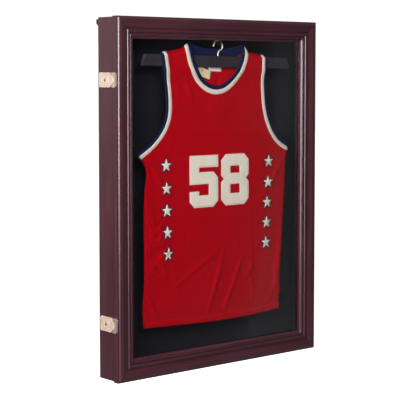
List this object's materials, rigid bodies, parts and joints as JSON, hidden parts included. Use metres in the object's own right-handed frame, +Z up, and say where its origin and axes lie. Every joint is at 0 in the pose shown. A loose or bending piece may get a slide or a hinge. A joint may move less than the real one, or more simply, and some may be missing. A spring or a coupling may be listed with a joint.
{
  "type": "jersey display frame",
  "caption": "Wall-hung glazed display case for a jersey: deep mahogany box, hinged moulded door, brass box latches, felt back, garment on a hanger.",
  "frame": {"origin": "on the wall plane, midway between the holes of the two wall hangers", "axes": "+X to the right as seen from the front, +Y back into the wall, +Z up"},
  "size_m": [0.6194, 0.0851, 0.8128],
  "materials": {
    "mahogany": "lacquered dark red mahogany stain",
    "clear_pane": "clear acrylic",
    "black_felt": "black felt",
    "fibreboard": "brown hardboard",
    "pale_brass": "pale plated brass",
    "hinge_brass": "plated brass",
    "black_enamel": "gloss black",
    "black_plastic": "moulded charcoal plastic",
    "hook_wire": "plated wire",
    "red_jersey": "knitted polyester with cream and navy trims",
    "rubber": "matt black",
    "zinc_steel": "zinc plated"
  },
  "bodies": {
    "case": {"back_felt": "black_felt", "back_panel": "fibreboard", "case_bottom": "mahogany", "case_side_left": "mahogany", "case_side_right": "mahogany", "case_top": "mahogany", "door_buffers": "rubber", "hanger_peg": "black_enamel", "hinge_case_screws": "hinge_brass", "hinge_lower_case_leaf": "hinge_brass", "hinge_middle_case_leaf": "hinge_brass", "hinge_pins": "hinge_brass", "hinge_upper_case_leaf": "hinge_brass", "latch_lower_base": "pale_brass", "latch_lower_pin": "pale_brass", "latch_screws": "pale_brass", "latch_upper_base": "pale_brass", "latch_upper_pin": "pale_brass", "liner_bottom": "black_felt", "liner_left": "black_felt", "liner_right": "black_felt", "liner_top": "black_felt", "panel_pins": "zinc_steel", "peg_nut": "zinc_steel", "peg_washer": "zinc_steel", "wall_bumpers": "rubber", "wall_hanger_left": "zinc_steel", "wall_hanger_right": "zinc_steel", "wall_hanger_screws": "zinc_steel"},
    "door": {"catch_lower": "pale_brass", "catch_screws": "pale_brass", "catch_upper": "pale_brass", "door_rail_bottom": "mahogany", "door_rail_top": "mahogany", "door_stile_left": "mahogany", "door_stile_right": "mahogany", "glazing_bead_bottom": "mahogany", "glazing_bead_left": "mahogany", "glazing_bead_right": "mahogany", "glazing_bead_top": "mahogany", "hinge_door_screws": "hinge_brass", "hinge_lower_door_leaf": "hinge_brass", "hinge_middle_door_leaf": "hinge_brass", "hinge_upper_door_leaf": "hinge_brass", "pane": "clear_pane"},
    "latch_upper": {"latch_upper_cover": "pale_brass"},
    "latch_lower": {"latch_lower_cover": "pale_brass"},
    "lock_upper": {"lock_upper_plug": "pale_brass"},
    "lock_lower": {"lock_lower_plug": "pale_brass"},
    "hook": {"hanger_hook": "hook_wire"},
    "hanger": {"hanger_bar": "black_plastic", "jersey_back": "red_jersey", "jersey_front": "red_jersey"}
  },
  "joints": [
    {"name": "door_hinge", "type": "hinge", "parent": "case", "child": "door", "pos_m": [0.308, -0.0642, -0.39565], "axis": [0, 0, 1], "range_deg": [0, 120]},
    {"name": "latch_upper_flip", "type": "hinge", "parent": "case", "child": "latch_upper", "pos_m": [-0.30615, -0.0194, -0.12965], "axis": [0, 0, -1], "range_deg": [0, 100]},
    {"name": "latch_lower_flip", "type": "hinge", "parent": "case", "child": "latch_lower", "pos_m": [-0.30615, -0.0194, -0.67365], "axis": [0, 0, -1], "range_deg": [0, 100]},
    {"name": "lock_upper_turn", "type": "hinge", "parent": "latch_upper", "child": "lock_upper", "pos_m": [-0.30305, -0.0405, -0.12965], "axis": [-1, 0, 0], "range_deg": [0, 90]},
    {"name": "lock_lower_turn", "type": "hinge", "parent": "latch_lower", "child": "lock_lower", "pos_m": [-0.30305, -0.0405, -0.67365], "axis": [-1, 0, 0], "range_deg": [0, 90]},
    {"name": "hook_swing", "type": "hinge", "parent": "case", "child": "hook", "pos_m": [0.009, -0.05415, -0.04465], "axis": [0, 1, 0], "range_deg": [-3, 3]},
    {"name": "hanger_swivel", "type": "hinge", "parent": "hook", "child": "hanger", "pos_m": [0.009, -0.05415, -0.07415], "axis": [0, 0, 1], "range_deg": [-1, 1]}
  ]
}
